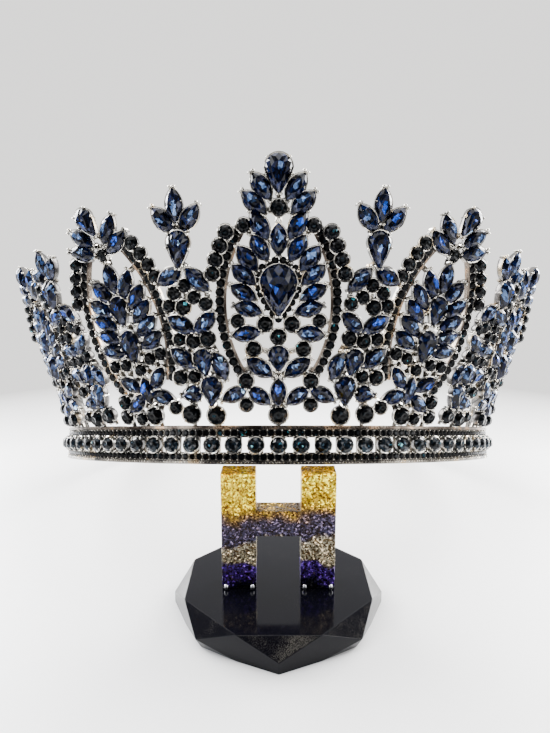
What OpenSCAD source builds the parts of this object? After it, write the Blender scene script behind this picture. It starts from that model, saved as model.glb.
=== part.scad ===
/* [Crown band] */
// Outer radius of the band
band_r = 78; // [72:0.5:84]
// Height of the band
band_h = 10.3; // [9:0.1:12]
// Thickness of the band at its rims
band_t = 2.4; // [2:0.1:3.2]
// Height of each plain rim
rim_h = 1; // [0.8:0.1:1.2]
// Height of the groove that holds a row of fine stones
groove_h = 2; // [1.6:0.1:2.2]
// Depth of that groove
groove_depth = 1.2; // [0.8:0.1:1.4]
// How far the middle strip lies under the rims
strip_depth = 0.4; // [0.2:0.1:0.6]
// Angle from the front to each open end of the band
band_reach = 130; // [124:1:136]
// Spacing of the large round stones along the band
band_pitch = 5.92; // [5.6:0.02:6.2]
// Large round stones on each side of the front one
band_side_count = 20; // [18:1:22]
// Width of a pierced window between two stones
window_w = 1.7; // [1.2:0.1:2]
// Metal left above and below a window
window_edge = 0.25; // [0.15:0.05:0.4]

/* [Openwork wall] */
// Outward lean of the wall above the band
flare = 18.5; // [14:0.5:22]
// Thickness of the openwork metal
plate_t = 1.8; // [1.5:0.1:2.2]
// Metal left round each stone
setting_w = 0.45; // [0.35:0.05:0.5]
// Width of the branches behind the stones
branch_w = 1.3; // [1:0.1:1.6]
// Width of the stem of each motif
stem_w = 3.2; // [2.6:0.1:3.6]
// Distance along the band between neighbouring motifs
motif_pitch = 20.4; // [19.5:0.1:21.5]
// Height of the centre motif above the band
centre_h = 68.5; // [62:0.5:72]
// Height of a spire above the band
spire_h = 61; // [56:0.5:64]
// Height of a leaf motif above the band
leaf_h = 61; // [56:0.5:64]
// Size of the second spires and leaves beside the first ones
second_size = 0.9; // [0.85:0.01:0.96]
// Size of the third spires and leaves, near the ears
third_size = 0.8; // [0.7:0.01:0.85]
// Backward lean of a leaf motif along the wall
leaf_lean = 10; // [6:1:12]

/* [Stones] */
// Diameter of a band stone
band_stone_d = 3.9; // [3.5:0.1:4.1]
// Length of a marquise stone
marquise_l = 7; // [6.4:0.1:7.2]
// Width of a marquise stone
marquise_w = 3.3; // [2.8:0.1:3.5]
// Diameter of a small round stone
small_d = 2.8; // [2.5:0.1:3]
// Diameter of a middle round stone
middle_d = 3.5; // [3.2:0.1:3.7]
// Diameter of a large drop stone
drop_d = 4.8; // [4.4:0.1:5]
// Height of a stone as a share of its width
stone_rise = 0.5; // [0.4:0.05:0.6]
// Clearance between a stone and the metal behind it
seat_gap = 0.1; // [0.1:0.05:0.2]

/* [Stand] */
// Distance from the centre of the base to a corner of its top
base_r = 26; // [24:0.5:30]
// Distance from the centre to a corner of the widest line
base_waist_r = 28.3; // [27:0.1:32]
// Height of the base
base_h = 7; // [6:0.5:9]
// Height of the widest line of the base
base_waist_h = 3; // [2:0.5:4]
// Width of the resin plate
plate_w = 29.6; // [27:0.2:33]
// Thickness of the resin plate
resin_t = 6; // [5:0.5:8]
// Width of each upright of the resin plate
upright_w = 9; // [8:0.2:10]
// Height of the front edge of the band above the table
lift = 39.5; // [36:0.5:43]
// Height of the underside of the crossbar above the table
bar_z = 22.3; // [20:0.1:24]
// Height of the crossbar
bar_h = 6.4; // [5:0.1:8]
// Diameter of a silver ball at the foot of the resin plate
ball_d = 1.6; // [1.2:0.1:2]

/* [Hidden] */

resin_back = 1;
resin_gap = 0.12;
round_sides = 8;
pear_steps = 10;
pear_taper = 0.12;
arc_steps = 4;
curve_facets = 120;
ball_facets = 24;

// The crown leans back until the lower corners of its open ends reach the table
band_span = band_r * (1 - cos(band_reach));
tilt = asin(lift / band_span);
crown_y = band_r * cos(tilt);
crown_z = lift - band_r * sin(tilt);
resin_top = lift - resin_back * tan(tilt) - resin_gap;

motif_turn = motif_pitch / band_r * 180 / PI;
band_turn = band_pitch / band_r * 180 / PI;
strip_r = band_r - strip_depth;
groove_r = band_r - groove_depth;

// The charts were drawn at these heights, and a motif is scaled from its own
centre_chart_h = 68.5;
spire_chart_h = 61;
leaf_chart_h = 61;
centre_k = centre_h / centre_chart_h;
spire_k = spire_h / spire_chart_h;
leaf_k = leaf_h / leaf_chart_h;

// A row of a chart: kind, across, up, length, width, lean, 1 where a mirrored one lies opposite
function kind(s) = s[0];
function across(s) = s[1];
function up(s) = s[2];
function long(s) = s[3];
function wide(s) = s[4];
function lean(s) = s[5];
function paired(s) = s[6] == 1;

ML = marquise_l;
MW = marquise_w;
SD = small_d;
MD = middle_d;
DD = drop_d;

centre_pears = [
  ["pear", 0, 63.8, 9, 6, 0, 0],
  ["pear", 0, 35.4, 12.5, 8.6, 0, 0],
  ["pear", 0, 18, 6.2, 4.8, 0, 0]
];

centre_chart = [
  ["marquise", 4.2, 60.4, ML, MW, 36, 1],
  ["marquise", 6, 56.6, ML, MW, 48, 1],
  ["round", 0, 55.4, MD, MD, 0, 0],
  ["marquise", 4.7, 51.2, ML, MW, 32, 1],
  ["marquise", 0, 47.9, ML, MW, 0, 0],
  ["marquise", 4.7, 45.8, ML - 0.6, MW - 0.4, 32, 1],
  ["marquise", 7.8, 43.2, ML, MW, 38, 1],
  ["marquise", 8.7, 39.2, ML - 0.4, MW - 0.3, 50, 1],
  ["marquise", 8.8, 34.8, ML - 0.6, MW - 0.4, 62, 1],
  ["marquise", 7.7, 30.7, ML - 0.8, MW - 0.4, 76, 1],
  ["round", 3.4, 26.8, MD, MD, 0, 1],
  ["marquise", 8.2, 24.4, ML - 0.6, MW - 0.3, 98, 1],
  ["round", 0, 23.6, MD, MD, 0, 0],
  ["round", 6.4, 20.4, MD, MD, 0, 1],
  ["marquise", 4.9, 15.6, ML + 0.6, MW, 56, 1],
  ["round", 8.4, 12, MD, MD, 0, 1],
  ["marquise", 0, 9, ML - 0.6, MW - 0.3, 0, 0],
  ["marquise", 11.4, 8.4, ML - 0.8, MW - 0.7, 116, 1],
  ["marquise", 5, 8, ML - 0.8, MW - 0.7, 54, 1],
  ["round", 0, 2.9, DD, DD, 0, 0]
];

centre_small_chart = [
  ["round", 8.6, 51.2, SD, SD, 0, 1],
  ["round", 10.4, 27.6, SD, SD, 0, 1],
  ["round", 8.4, 5.6, SD, SD, 0, 1]
];

// Solid webs between the stones, where the real openings are too fine to pierce
centre_webs = [
  ["round", 2.6, 57, 5, 5, 0, 1],
  ["round", 2, 49, 3.4, 3.4, 0, 1],
  ["round", 10.2, 42, 4.8, 4.8, 0, 1],
  ["round", 5, 40.4, 4.6, 4.6, 0, 1],
  ["round", 4.8, 34, 4, 4, 0, 1],
  ["round", 3.4, 22.6, 8, 8, 0, 1],
  ["round", 6.6, 8, 7.2, 7.2, 0, 1],
  ["round", 3.2, 6.2, 6.6, 6.6, 0, 1]
];

spire_pear = [["pear", -1, 46.4, 9, 5.6, 6, 0]];

spire_chart = [
  ["marquise", -1, 56.6, ML, MW, 0, 0],
  ["marquise", -4.4, 54, ML + 0.4, MW, -38, 0],
  ["marquise", 2.5, 53.8, ML + 0.4, MW, 40, 0],
  ["marquise", -4.4, 39.9, ML - 1, MW - 0.3, 64, 0],
  ["marquise", 3, 38.6, ML + 1, MW, -42, 0],
  ["marquise", -2.4, 27.4, ML - 0.4, MW - 0.2, -58, 0],
  ["marquise", 3.6, 27.6, ML - 1, MW - 0.2, 50, 0],
  ["marquise", -2.9, 18.6, ML - 0.6, MW - 0.3, -50, 0],
  ["pear", 2.6, 17.4, 6.8, 4.6, -8, 0],
  ["marquise", 6.8, 16.2, ML - 0.4, MW - 0.4, -20, 0],
  ["pear", -1.8, 9, 5.4, 4.2, 84, 0],
  ["pear", 4, 9.7, 7.6, 5.2, 4, 0],
  ["round", -2.6, 3.4, DD, DD, 0, 0],
  ["round", 4.4, 2.9, DD, DD, 0, 0]
];

spire_small_chart = [
  ["round", -0.6, 37.4, SD, SD, 0, 0],
  ["round", -3.8, 35.6, SD, SD, 0, 0],
  ["round", 1.6, 34.2, SD, SD, 0, 0],
  ["round", -5.4, 32.4, SD, SD, 0, 0],
  ["round", -1.6, 31.8, MD, MD, 0, 0],
  ["round", 4.6, 32.4, SD, SD, 0, 0],
  ["round", -3.6, 23.6, SD, SD, 0, 0],
  ["round", 0.2, 23, MD, MD, 0, 0],
  ["round", 4.2, 23.4, MD, MD, 0, 0],
  ["round", -4.6, 13.4, MD, MD, 0, 0],
  ["round", -0.6, 13.6, SD, SD, 0, 0],
  ["round", -7, 5.2, SD, SD, 0, 0]
];

spire_webs = [
  ["round", -1.2, 52.8, 6.4, 6.4, 0, 0],
  ["round", -0.8, 40.2, 4, 4, 0, 0],
  ["round", 3, 14.4, 6, 6, 0, 0]
];

leaf_pears = [
  ["pear", -1.4, 57.4, 8.4, 4.8, -20, 0],
  ["pear", 0, 22.8, 8.7, 5.6, 0, 0]
];

leaf_chart = [
  ["marquise", 4.9, 53.8, ML, MW, 44, 1],
  ["marquise", 6.2, 49.9, ML, MW, 62, 1],
  ["marquise", 0, 41.6, ML, MW, 0, 0],
  ["marquise", 4.2, 39, ML, MW, 34, 1],
  ["marquise", 6.7, 35, ML - 0.6, MW - 0.3, 46, 1],
  ["marquise", 7, 31, ML - 0.6, MW - 0.3, 54, 1],
  ["pear", 0, 32.8, 7.4, 5, 0, 0],
  ["marquise", 7.2, 27, ML - 0.6, MW - 0.3, 62, 1],
  ["marquise", 7.4, 23, ML - 0.8, MW - 0.3, 72, 1],
  ["marquise", 4.6, 12.8, ML - 0.8, MW - 0.5, 50, 1],
  ["marquise", 0, 10.2, ML - 0.8, MW - 0.5, 0, 0],
  ["marquise", 4.4, 7.4, ML - 0.8, MW - 0.5, 120, 1],
  ["round", 0, 3, DD, DD, 0, 0]
];

leaf_small_chart = [
  ["round", 0, 48.4, SD, SD, 0, 0],
  ["round", 4.2, 18.4, SD, SD, 0, 1],
  ["round", 8, 18.8, SD, SD, 0, 1],
  ["round", 0, 16, SD, SD, 0, 0],
  ["round", -4.7, 2.9, SD, SD, 0, 0],
  ["round", -8.6, 8.6, MD, MD, 0, 0],
  ["round", -9.4, 4.4, MD, MD, 0, 0]
];

leaf_webs = [
  ["round", 3.4, 50.6, 6.4, 6.4, 0, 1],
  ["round", 3.4, 47.2, 5.4, 5.4, 0, 1],
  ["round", 7.2, 41.6, 3.6, 3.6, 0, 1],
  ["round", 2.4, 38.6, 6, 6, 0, 1],
  ["round", 3.8, 31, 7, 7, 0, 1],
  ["round", 4, 27.8, 6, 6, 0, 1],
  ["round", 1.8, 7.4, 3.6, 3.6, 0, 1]
];

// The second and third leaves turn away from the front, so they have fewer openings
outer_leaf_webs = [
  ["round", 5.8, 36.8, 9, 9, 0, 1],
  ["round", 9.2, 33, 8, 8, 0, 1],
  ["round", 8.6, 29.4, 5, 5, 0, 1]
];

// An arch is a strip along an arc: radius, height of its middle, reach across, lowest, highest
centre_arch = [36, 32, 14.9, 12, 51];
leaf_arch = [40, 28.5, 12.5, 11, 49.9];
function arch_r(a) = a[0];
function arch_mid(a) = a[1];
function arch_reach(a) = a[2];
function arch_low(a) = a[3];
function arch_high(a) = a[4];
arch_w = 2.2;
arch_rail = 1;
arch_round_step = 2.8;

// How far a wide motif sits back, so that its sides meet the ones beside it
centre_sink = 0.7;
leaf_sink = 0.5;
spire_sink = 0;

// Outline points of a stone, length along Y and round end up
function marquise_points(l, w) =
  let (r = (l * l + w * w) / (4 * w), half = asin(l / 2 / r))
  concat(
    [for (i = [0:arc_steps - 1]) let (t = 2 * half * i / arc_steps - half)
      [r * cos(t) - r + w / 2, r * sin(t)]],
    [for (i = [0:arc_steps - 1]) let (t = 2 * half * i / arc_steps - half)
      [-(r * cos(t) - r + w / 2), -r * sin(t)]]);
function pear_points(l, w) =
  [for (i = [0:pear_steps - 1]) let (t = 360 * i / pear_steps - 90, c = cos(t), s = sin(t),
    y = s > 0 ? l / 2 - w / 2 + w / 2 * s : l / 2 - w / 2 + (l - w / 2) * s)
    [w / 2 * c * (s > 0 ? 1 : pow(1 + s, pear_taper)), y]];
function round_points(d, n) = [for (i = [0:n - 1]) d / 2 * [cos(360 * i / n), sin(360 * i / n)]];
function outline(shape, l, w) =
  shape == "marquise" ? marquise_points(l, w) :
  shape == "pear" ? pear_points(l, w) : round_points(w, round_sides);

// A cut stone: flat back, girdle, and facets that rise to a flat table
girdle_share = 0.35;
back_share = 0.86;
table_share = 0.55;
module stone(shape, l, w) {
  base = outline(shape, l, w);
  n = len(base);
  rise = w * stone_rise;
  ring = function(share, z) [for (p = base) [p[0] * share, p[1] * share, z]];
  points = concat(ring(back_share, 0), ring(1, rise * girdle_share), ring(table_share, rise));
  polyhedron(points, concat(
    [[for (i = [0:n - 1]) i]],
    [for (k = [0:1], i = [0:n - 1])
      [(k + 1) * n + i, (k + 1) * n + (i + 1) % n, k * n + (i + 1) % n, k * n + i]],
    [[for (i = [n - 1:-1:0]) 2 * n + i]]));
}

// Each child is put where a row of a chart says, and again opposite if the row is paired
module at_row(s) {
  for (side = paired(s) ? [1, -1] : [1])
    translate([side * across(s), up(s), 0])
      rotate(-side * lean(s))
        children();
}

module chart_stones(chart, k) {
  translate([0, 0, seat_gap]) scale(k)
    for (s = chart)
      at_row(s) stone(kind(s), long(s), wide(s));
}

module chart_shapes(chart, margin) {
  for (s = chart)
    at_row(s) polygon(outline(kind(s), long(s) + 2 * margin, wide(s) + 2 * margin));
}

// A straight branch between two points
module branch(a, b) {
  d = b - a;
  translate(a) rotate(atan2(d[1], d[0])) translate([-branch_w / 2, -branch_w / 2])
    square([norm(d) + branch_w, branch_w]);
}

// A branch from the stem to each stone that lies beside it
stem_drop = 0.45;
module chart_branches(chart) {
  for (s = chart)
    if (abs(across(s)) > 1)
      for (side = paired(s) ? [1, -1] : [1])
        branch([0, max(up(s) - stem_drop * abs(across(s)), 0)], [side * across(s), up(s)]);
}

module stem(high) {
  translate([-stem_w / 2, -foot_depth]) square([stem_w, high + foot_depth]);
}

// A strip along the arch between two radii and two heights, on both sides
module arch_strip(a, inner, outer, low, high) {
  for (side = [0, 1])
    mirror([side, 0])
      intersection() {
        translate([arch_reach(a) - arch_r(a), arch_mid(a)])
          difference() {
            circle(r = outer, $fn = curve_facets);
            circle(r = inner, $fn = curve_facets);
          }
        translate([0, low]) square([2 * arch_reach(a), high - low]);
      }
}

// The arch carries its rail inside and is wider where the larger rounds ride on it
module arch(a) {
  inner = arch_r(a) - arch_w / 2 - arch_rail;
  crest = arch_r(a) + arch_round_step;
  arch_strip(a, inner, arch_r(a) + arch_w / 2, arch_low(a), arch_high(a));
  arch_strip(a, inner, crest, up(arch_round(a, arch_rounds - 1)), up(arch_round(a, 0)));
}

// The larger rounds that ride on the upper part of an arch
arch_rounds = 4;
arch_round_pitch = 3.4;
arch_round_top = 1.4;
function arch_round(a, i) =
  let (r = arch_r(a) + arch_round_step,
    t0 = asin((arch_high(a) - arch_round_top - arch_mid(a)) / r),
    t = t0 - i * arch_round_pitch / r * 180 / PI)
  ["round", arch_reach(a) - arch_r(a) + r * cos(t), arch_mid(a) + r * sin(t), SD, SD, 0, 1];
function arch_chart(a) = [for (i = [0:arch_rounds - 1]) arch_round(a, i)];

// A foot under each of the lowest stones is soldered to the rim of the band
foot_depth = 1;
foot_w = 5.8;
foot_below = 4.5;
module feet(chart) {
  for (s = chart)
    if (up(s) < foot_below)
      translate([across(s) - foot_w / 2, -foot_depth]) square([foot_w, foot_depth + up(s)]);
}

module wall_place(turn, sink) {
  rotate([0, 0, turn])
    translate([0, -band_r, band_h])
      rotate([90 + flare, 0, 0])
        translate([0, 0, -sink])
          children();
}

module crown_pose() {
  translate([0, crown_y, crown_z]) rotate([-tilt, 0, 0]) children();
}

// The first, second and third motif from the front, in steps of the motif's turn, and their lean
spire_steps = [1, 2.67, 4.7];
spire_leans = [0, 12, 10];
leaf_steps = [1.66, 3.62, 5.55];
sizes = [1, second_size, third_size];
leaf_web_sets = [leaf_webs, concat(leaf_webs, outer_leaf_webs), concat(leaf_webs, outer_leaf_webs)];

// The left side is drawn, and the right side is its mirror image
module on_side(side) {
  if (side > 0) mirror([1, 0, 0]) children();
  else children();
}
module spire_place(side, order) {
  on_side(side) wall_place(-spire_steps[order] * motif_turn, spire_sink)
    rotate(spire_leans[order]) children();
}
module leaf_place(side, order) {
  on_side(side) wall_place(-leaf_steps[order] * motif_turn, leaf_sink)
    rotate(leaf_lean) children();
}

module plate_of(charts, webs, high, k) {
  translate([0, 0, -plate_t])
    linear_extrude(plate_t)
      scale(k) {
        for (c = charts) {
          chart_shapes(c, setting_w);
          chart_branches(c);
          feet(c);
        }
        chart_shapes(webs, 0);
        stem(high);
        children();
      }
}

// How far up its motif a stem reaches
centre_stem = 60;
spire_stem = 52;
leaf_stem = 54;

module centre_plate() {
  charts = [centre_pears, centre_chart, centre_small_chart, arch_chart(centre_arch)];
  plate_of(charts, centre_webs, centre_stem, centre_k) arch(centre_arch);
}

module spire_plate(order) {
  charts = [spire_pear, spire_chart, spire_small_chart];
  plate_of(charts, spire_webs, spire_stem, spire_k * sizes[order]);
}

module leaf_plate(order) {
  charts = [leaf_pears, leaf_chart, leaf_small_chart, arch_chart(leaf_arch)];
  plate_of(charts, leaf_web_sets[order], leaf_stem, leaf_k * sizes[order]) arch(leaf_arch);
}

module band() {
  inner = band_r - band_t;
  low = rim_h;
  strip_low = low + groove_h;
  strip_high = band_h - strip_low;
  rotate([0, 0, -90 - band_reach])
    rotate_extrude(angle = 2 * band_reach, $fn = curve_facets)
      polygon([
        [inner, 0], [band_r, 0], [band_r, low], [groove_r, low], [groove_r, strip_low],
        [strip_r, strip_low], [strip_r, strip_high], [groove_r, strip_high],
        [groove_r, band_h - low], [band_r, band_h - low], [band_r, band_h], [inner, band_h]
      ]);
}

module windows() {
  low = rim_h + groove_h + window_edge;
  for (i = [-band_side_count:band_side_count - 1])
    rotate([0, 0, (i + 0.5) * band_turn])
      translate([-window_w / 2, -band_r - 1, low])
        cube([window_w, band_t + 2, band_h - 2 * low]);
}

module crown_frame() {
  color("dimgray") crown_pose() {
    difference() {
      band();
      windows();
    }
    wall_place(0, centre_sink) centre_plate();
    for (side = [-1, 1], order = [0:2]) {
      spire_place(side, order) spire_plate(order);
      leaf_place(side, order) leaf_plate(order);
    }
  }
}

module centre_stone(index) {
  color("midnightblue") crown_pose() wall_place(0, centre_sink)
    chart_stones([centre_pears[index]], centre_k);
}
module centre_top_pear() { centre_stone(0); }
module centre_main_pear() { centre_stone(1); }
module centre_low_pear() { centre_stone(2); }

module centre_stones() {
  color("darkslateblue") crown_pose() wall_place(0, centre_sink)
    chart_stones(centre_chart, centre_k);
}

module spire_pears(side) {
  color("midnightblue") crown_pose()
    for (order = [0:1])
      spire_place(side, order) chart_stones(spire_pear, spire_k * sizes[order]);
}
module spire_pears_left() { spire_pears(-1); }
module spire_pears_right() { spire_pears(1); }

module leaf_pair(side) {
  color("midnightblue") crown_pose()
    for (order = [0:1])
      leaf_place(side, order) chart_stones(leaf_pears, leaf_k * sizes[order]);
}
module leaf_pears_left() { leaf_pair(-1); }
module leaf_pears_right() { leaf_pair(1); }

module spire_stones() {
  color("darkslateblue") crown_pose()
    for (side = [-1, 1], order = [0:1])
      spire_place(side, order) chart_stones(spire_chart, spire_k * sizes[order]);
}

module leaf_stones() {
  color("darkslateblue") crown_pose()
    for (side = [-1, 1], order = [0:1])
      leaf_place(side, order) chart_stones(leaf_chart, leaf_k * sizes[order]);
}

module band_stones() {
  color("black") crown_pose()
    for (i = [-band_side_count:band_side_count])
      rotate([0, 0, i * band_turn])
        translate([0, -strip_r - seat_gap, band_h / 2])
          rotate([90, 0, 0]) stone("round", band_stone_d, band_stone_d);
}

// The faceted top: an octagon above a wider one that is turned by half a side
base_sides = 8;
module base_crown() {
  n = base_sides;
  turn = 360 / n;
  points = concat(
    [for (i = [0:n - 1]) [base_waist_r * cos(turn * i), base_waist_r * sin(turn * i), base_waist_h]],
    [for (i = [0.5:n - 0.5]) [base_r * cos(turn * i), base_r * sin(turn * i), base_h]]);
  polyhedron(points, concat(
    [[for (i = [0:n - 1]) i]],
    [[for (i = [n - 1:-1:0]) n + i]],
    [for (i = [0:n - 1]) [i, n + i, (i + 1) % n]],
    [for (i = [0:n - 1]) [n + i, n + (i + 1) % n, (i + 1) % n]]));
}

module stand_base() {
  color("black") union() {
    cylinder(r = base_waist_r, h = base_waist_h, $fn = base_sides);
    base_crown();
  }
}

module stand_plate() {
  left = -plate_w / 2;
  color("goldenrod")
    translate([0, resin_back, 0]) rotate([90, 0, 0])
      linear_extrude(resin_t) {
        for (x = [left, -left - upright_w])
          translate([x, base_h]) square([upright_w, resin_top - base_h]);
        translate([left, bar_z]) square([plate_w, bar_h]);
      }
}

module stand_studs() {
  front = resin_back - resin_t - ball_d / 2 - seat_gap;
  inset = ball_d;
  color("silver")
    for (side = [-1, 1], x = [plate_w / 2 - inset, plate_w / 2 - upright_w + inset])
      translate([side * x, front, base_h + ball_d / 2]) sphere(d = ball_d, $fn = ball_facets);
}

stand_base();
stand_plate();
stand_studs();
crown_frame();
centre_top_pear();
centre_main_pear();
centre_low_pear();
spire_pears_left();
spire_pears_right();
leaf_pears_left();
leaf_pears_right();
centre_stones();
spire_stones();
leaf_stones();
band_stones();
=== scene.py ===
import math
import random
from collections import namedtuple

import bpy
import numpy as np
from mathutils import Matrix, Vector


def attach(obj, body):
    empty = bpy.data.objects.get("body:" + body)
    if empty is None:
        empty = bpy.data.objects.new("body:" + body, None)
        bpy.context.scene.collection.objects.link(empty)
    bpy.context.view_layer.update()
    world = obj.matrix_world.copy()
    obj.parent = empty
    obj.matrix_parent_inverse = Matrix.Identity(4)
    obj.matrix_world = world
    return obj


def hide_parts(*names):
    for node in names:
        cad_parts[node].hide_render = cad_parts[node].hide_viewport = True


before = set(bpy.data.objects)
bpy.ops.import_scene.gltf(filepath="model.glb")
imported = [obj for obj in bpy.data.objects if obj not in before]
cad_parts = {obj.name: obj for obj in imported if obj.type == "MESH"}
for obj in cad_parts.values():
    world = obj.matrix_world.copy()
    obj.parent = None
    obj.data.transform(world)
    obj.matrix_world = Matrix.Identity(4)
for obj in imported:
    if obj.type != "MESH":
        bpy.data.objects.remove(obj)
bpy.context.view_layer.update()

MM = 0.001
rng = random.Random(11)

# Sizes in millimetres, as in the part's source
BAND_R = 78
BAND_H = 10.3
BAND_T = 2.4
BAND_REACH = 130
RIM_H = 1
GROOVE_R = 76.8
STRIP_R = 77.6
BAND_PITCH = 5.92
BAND_SIDE_STONES = 29
CAD_SIDE_STONES = 20
BAND_STONE_D = 3.9
FLARE = 18.5
LIFT = 39.5
MOTIF_PITCH = 20.4
STONE_RISE = 0.5
SEAT_GAP = 0.1
CENTRE_SINK = 0.7
LEAF_SINK = 0.5
ML, MW, SD, MD, DD = 7, 3.3, 2.8, 3.5, 4.8
LL = 8.2

# A row of a chart: kind, across, up, length, width, lean, 1 where a mirrored one lies opposite
CENTRE_PEARS = [
    ("pear", 0, 63.3, 9, 6, 0, 0),
    ("pear", 0, 35.4, 12.5, 8.6, 0, 0),
    ("pear", 0, 18, 6.2, 4.8, 0, 0),
]
CENTRE_CHART = [
    ("marquise", 4.2, 60.4, ML, MW, 36, 1),
    ("marquise", 6, 56.6, ML, MW, 48, 1),
    ("round", 0, 55.4, MD, MD, 0, 0),
    ("marquise", 4.7, 51.2, ML, MW, 32, 1),
    ("marquise", 0, 47.9, ML, MW, 0, 0),
    ("marquise", 4.7, 45.8, ML - 0.6, MW - 0.4, 32, 1),
    ("marquise", 7.8, 43.2, ML, MW, 38, 1),
    ("marquise", 8.7, 39.2, ML - 0.4, MW - 0.3, 50, 1),
    ("marquise", 8.8, 34.8, ML - 0.6, MW - 0.4, 62, 1),
    ("marquise", 7.7, 30.7, ML - 0.8, MW - 0.4, 76, 1),
    ("round", 3.4, 26.8, MD, MD, 0, 1),
    ("marquise", 8.2, 24.4, ML - 0.6, MW - 0.3, 98, 1),
    ("round", 0, 23.6, MD, MD, 0, 0),
    ("round", 6.4, 20.4, MD, MD, 0, 1),
    ("marquise", 4.9, 15.6, ML + 0.6, MW, 56, 1),
    ("round", 8.4, 12, MD, MD, 0, 1),
    ("marquise", 0, 9, ML - 0.6, MW - 0.3, 0, 0),
    ("marquise", 11.4, 8.4, ML - 0.8, MW - 0.7, 116, 1),
    ("marquise", 5, 8, ML - 0.8, MW - 0.7, 54, 1),
    ("round", 0, 2.9, DD, DD, 0, 0),
]
CENTRE_SMALL = [
    ("round", 8.6, 51.2, SD, SD, 0, 1),
    ("round", 10.4, 27.6, SD, SD, 0, 1),
    ("round", 8.4, 5.6, SD, SD, 0, 1),
]
SPIRE_PEAR = [("pear", -1, 46.4, 9, 5.6, 6, 0)]
SPIRE_CHART = [
    ("marquise", -1, 57.2, LL, MW, 0, 0),
    ("marquise", -4.5, 54, ML + 0.6, MW, -38, 0),
    ("marquise", 2.6, 53.8, ML + 0.6, MW, 40, 0),
    ("marquise", -4.4, 39.9, ML, MW, 64, 0),
    ("marquise", 3, 38.6, LL, MW, -42, 0),
    ("marquise", -2.6, 27.4, LL, MW, -58, 0),
    ("marquise", 3.8, 27.6, ML, MW, 50, 0),
    ("marquise", -3.1, 18.6, LL, MW, -50, 0),
    ("pear", 2.6, 17.4, 6.8, 4.8, -8, 0),
    ("marquise", 6.8, 16.2, ML, MW, -20, 0),
    ("pear", -1.8, 9, 5.4, 4.2, 84, 0),
    ("pear", 4, 9.7, 7.6, 5.2, 4, 0),
    ("round", -2.6, 3.4, DD, DD, 0, 0),
    ("round", 4.4, 2.9, DD, DD, 0, 0),
]
SPIRE_SMALL = [
    ("round", -0.6, 37.4, SD, SD, 0, 0),
    ("round", -3.8, 35.6, SD, SD, 0, 0),
    ("round", 1.6, 34.2, SD, SD, 0, 0),
    ("round", -5.4, 32.4, SD, SD, 0, 0),
    ("round", -1.6, 31.8, MD, MD, 0, 0),
    ("round", 4.6, 32.4, SD, SD, 0, 0),
    ("round", -3.6, 23.6, SD, SD, 0, 0),
    ("round", 0.2, 23, MD, MD, 0, 0),
    ("round", 4.2, 23.4, MD, MD, 0, 0),
    ("round", -4.6, 13.4, MD, MD, 0, 0),
    ("round", -0.6, 13.6, SD, SD, 0, 0),
    ("round", -7, 5.2, SD, SD, 0, 0),
]
LEAF_PEARS = [
    ("pear", -1.4, 57.4, 8.4, 4.8, -20, 0),
    ("pear", 0, 22.8, 8.7, 5.6, 0, 0),
]
LEAF_CHART = [
    ("marquise", 4, 54, LL, MW, 40, 0),
    ("marquise", -5.1, 54.4, LL, MW, -46, 0),
    ("marquise", 5.4, 50.1, LL, MW, 62, 0),
    ("marquise", -6.4, 50.8, LL, MW, -64, 0),
    ("marquise", 0, 41.8, LL, MW, 0, 0),
    ("marquise", 4, 39, LL, MW, 34, 1),
    ("marquise", 6.1, 35, LL, MW, 46, 1),
    ("marquise", 6.3, 31, LL, MW, 54, 1),
    ("pear", 0, 32.8, 7.8, 5, 0, 0),
    ("marquise", 6.4, 27, LL, MW, 62, 1),
    ("marquise", 6.6, 23, LL, MW, 72, 1),
    ("marquise", 4.6, 12.8, ML, MW - 0.5, 50, 1),
    ("marquise", 0, 10.2, ML, MW - 0.5, 0, 0),
    ("marquise", 4.4, 7.4, ML, MW - 0.5, 120, 1),
    ("round", 0, 3, DD, DD, 0, 0),
]
LEAF_SMALL = [
    ("round", 0, 48.4, SD, SD, 0, 0),
    ("round", 4.2, 18.4, SD, SD, 0, 1),
    ("round", 8, 18.8, SD, SD, 0, 1),
    ("round", 0, 16, SD, SD, 0, 0),
    ("round", -4.7, 2.9, SD, SD, 0, 0),
    ("round", -8.6, 8.6, MD, MD, 0, 0),
    ("round", -9.4, 4.4, MD, MD, 0, 0),
]

# An arch: radius, height of its middle, reach across, lowest and highest point
Arch = namedtuple("Arch", "r mid reach low high")
CENTRE_ARCH = Arch(36, 32, 14.9, 12, 51)
LEAF_ARCH = Arch(40, 28.5, 12.5, 11, 49.9)
ARCH_ROUND_STEP = 2.45
FINE_D, FINE_PITCH = 2.25, 2.3
HALO_D, HALO_PITCH = 1.85, 1.85

# The first, second and third motif from the front, in steps of the motif's turn, and their lean
SPIRE_STEPS = (1, 2.67, 4.7)
SPIRE_LEANS = (0, 12, 10)
LEAF_STEPS = (1.66, 3.62, 5.55)
LEAF_LEAN = 10
SIZES = (1, 0.9, 0.8)


def shift(x, y, z):
    return Matrix.Translation((x, y, z))


def spin(axis, degrees):
    return Matrix.Rotation(math.radians(degrees), 4, axis)


TILT = math.degrees(math.asin(LIFT / (BAND_R * (1 - math.cos(math.radians(BAND_REACH))))))
CROWN = (
    shift(0, BAND_R * math.cos(math.radians(TILT)), LIFT - BAND_R * math.sin(math.radians(TILT)))
    @ spin("X", -TILT)
)
MIRROR = Matrix.Diagonal((-1, 1, 1, 1))
MOTIF_TURN = math.degrees(MOTIF_PITCH / BAND_R)
BAND_TURN = math.degrees(BAND_PITCH / BAND_R)


def wall(turn, sink, side=-1):
    """The place of a motif: across, up and outwards from the top edge of the band."""
    place = spin("Z", turn) @ shift(0, -BAND_R, BAND_H) @ spin("X", 90 + FLARE) @ shift(0, 0, -sink)
    return CROWN @ (MIRROR @ place if side > 0 else place)


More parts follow.
